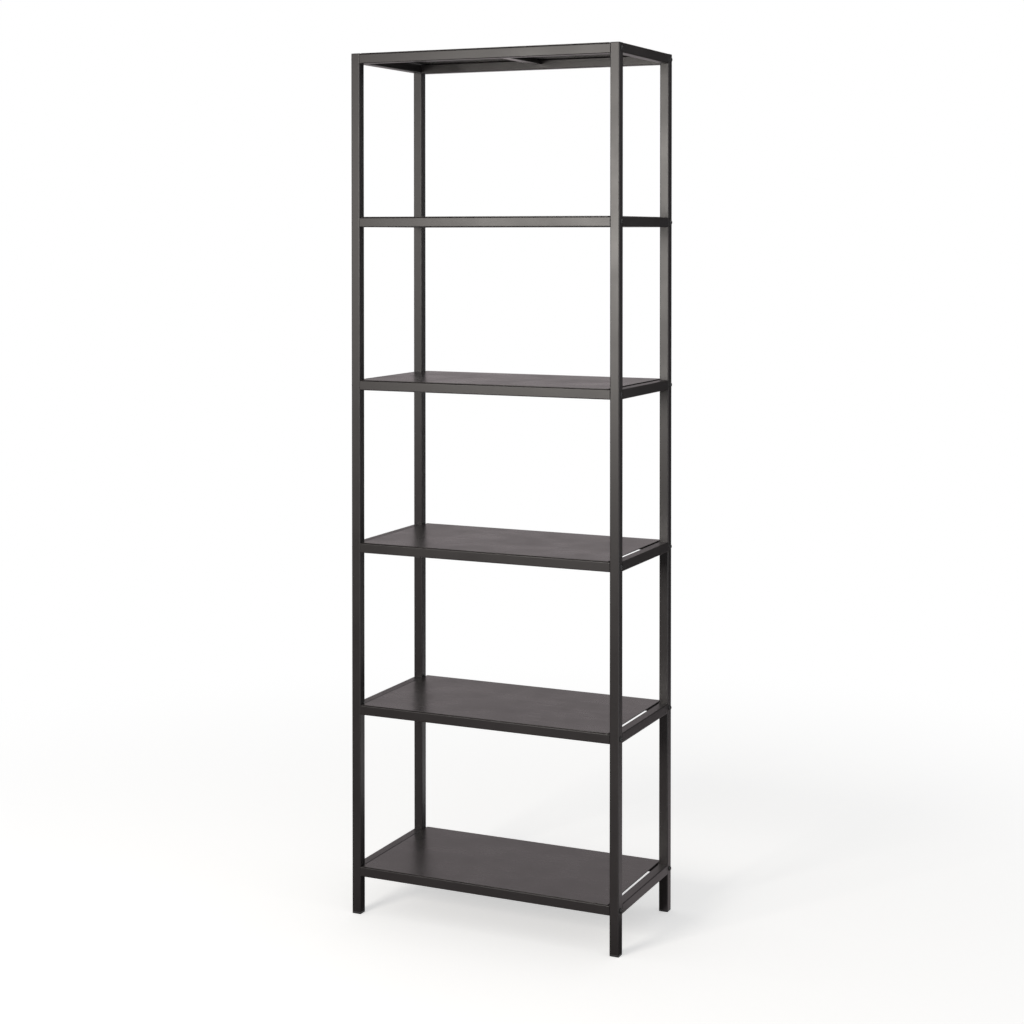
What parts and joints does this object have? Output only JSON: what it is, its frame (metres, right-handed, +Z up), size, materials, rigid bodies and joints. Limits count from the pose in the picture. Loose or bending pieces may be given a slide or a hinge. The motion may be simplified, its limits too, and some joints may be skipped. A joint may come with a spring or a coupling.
{
  "type": "open metal bookcase",
  "caption": "Tall free-standing open bookcase of dark square steel tube, with flat sheet shelves bolted between welded side frames.",
  "frame": {"origin": "on the floor, under the middle of the frame", "axes": "+X to the right as seen from the front, +Y towards the rear, +Z up"},
  "size_m": [0.6066, 0.3, 1.8],
  "materials": {
    "frame_coat": "satin powder coat",
    "shelf_coat": "satin powder coat",
    "bolt_coat": "black coated steel",
    "block_steel": "plain steel",
    "plug_plastic": "matt black plastic"
  },
  "bodies": {
    "root": {"post_front_left": "frame_coat", "foot_front_left": "plug_plastic", "cap_front_left": "plug_plastic", "post_front_right": "frame_coat", "foot_front_right": "plug_plastic", "cap_front_right": "plug_plastic", "post_rear_left": "frame_coat", "foot_rear_left": "plug_plastic", "cap_rear_left": "plug_plastic", "post_rear_right": "frame_coat", "foot_rear_right": "plug_plastic", "cap_rear_right": "plug_plastic", "side_rail_left_1": "frame_coat", "side_rail_right_1": "frame_coat", "front_rail_1": "frame_coat", "rear_rail_1": "frame_coat", "shelf_sheet_1": "shelf_coat", "shelf_brace_1": "shelf_coat", "side_rail_left_2": "frame_coat", "side_rail_right_2": "frame_coat", "front_rail_2": "frame_coat", "rear_rail_2": "frame_coat", "shelf_sheet_2": "shelf_coat", "shelf_brace_2": "shelf_coat", "side_rail_left_3": "frame_coat", "side_rail_right_3": "frame_coat", "front_rail_3": "frame_coat", "rear_rail_3": "frame_coat", "shelf_sheet_3": "shelf_coat", "shelf_brace_3": "shelf_coat", "side_rail_left_4": "frame_coat", "side_rail_right_4": "frame_coat", "front_rail_4": "frame_coat", "rear_rail_4": "frame_coat", "shelf_sheet_4": "shelf_coat", "shelf_brace_4": "shelf_coat", "side_rail_left_5": "frame_coat", "side_rail_right_5": "frame_coat", "front_rail_5": "frame_coat", "rear_rail_5": "frame_coat", "shelf_sheet_5": "shelf_coat", "shelf_brace_5": "shelf_coat", "side_rail_left_6": "frame_coat", "side_rail_right_6": "frame_coat", "front_rail_6": "frame_coat", "rear_rail_6": "frame_coat", "shelf_sheet_6": "shelf_coat", "shelf_brace_6": "shelf_coat", "shelf_bolts": "bolt_coat", "rail_end_blocks": "block_steel"}
  },
  "joints": []
}
